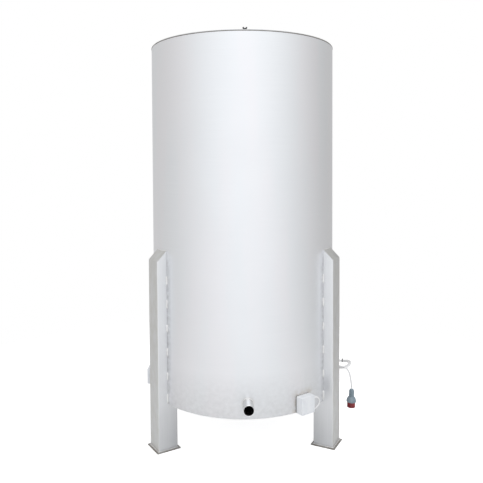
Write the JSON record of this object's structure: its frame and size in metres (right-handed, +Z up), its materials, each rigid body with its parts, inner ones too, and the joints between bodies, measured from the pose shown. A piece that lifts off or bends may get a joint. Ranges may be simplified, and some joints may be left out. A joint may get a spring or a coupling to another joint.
{
  "type": "vertical storage tank",
  "caption": "Round upright steel storage tank on box legs with foot plates, a flat lid, a short outlet pipe at the foot of the wall, junction boxes and a coiled supply cord.",
  "frame": {"origin": "on the floor, on the tank's upright axis", "axes": "+Z up, -Y towards the outlet pipe, +X towards the side with the supply cord"},
  "size_m": [1.4186, 1.3717, 2.5934],
  "materials": {
    "steel": "satin ground stainless steel",
    "lid_steel": "satin stainless steel sheet",
    "leg_steel": "satin stainless steel sheet, folded",
    "foot_steel": "plain steel plate with dull cut edges",
    "pipe_steel": "polished stainless tube",
    "white_plastic": "light grey-white moulded plastic",
    "dial_plastic": "light grey moulded plastic",
    "white_cable": "white cable sheath",
    "black_plastic": "black moulded plastic",
    "plug_grey": "blue-grey moulded plastic",
    "plug_red": "dark red moulded plastic"
  },
  "bodies": {
    "root": {"wall_plate_01": "steel", "wall_plate_02": "steel", "wall_plate_03": "steel", "wall_plate_04": "steel", "wall_plate_05": "steel", "wall_plate_06": "steel", "wall_plate_07": "steel", "wall_plate_08": "steel", "wall_plate_09": "steel", "wall_plate_10": "steel", "wall_plate_11": "steel", "wall_plate_12": "steel", "tank_bottom": "steel", "lid_front": "lid_steel", "lid_rear": "lid_steel", "lid_seam_strip": "lid_steel", "leg_left": "leg_steel", "leg_right": "leg_steel", "leg_rear": "leg_steel", "leg_cap_left": "leg_steel", "leg_cap_right": "leg_steel", "leg_cap_rear": "leg_steel", "foot_plate_left": "foot_steel", "foot_plate_right": "foot_steel", "foot_plate_rear": "foot_steel", "outlet_pipe": "pipe_steel", "front_box_body": "white_plastic", "front_box_cover": "white_plastic", "front_box_gland": "white_plastic", "left_box_body": "white_plastic", "left_box_cover": "white_plastic", "left_box_gland": "white_plastic", "right_box_body": "white_plastic", "right_box_cover": "white_plastic", "right_box_gland": "white_plastic", "supply_gland": "white_plastic", "cable_clip_1": "white_plastic", "cable_clip_2": "white_plastic", "thermostat_dial": "dial_plastic", "link_cable": "white_cable", "supply_lead": "white_cable", "supply_coil": "white_cable", "supply_drop": "white_cable", "lid_knob": "black_plastic", "coil_tie": "black_plastic", "plug_nut": "plug_grey", "plug_body": "plug_grey", "plug_collar": "plug_red"}
  },
  "joints": []
}
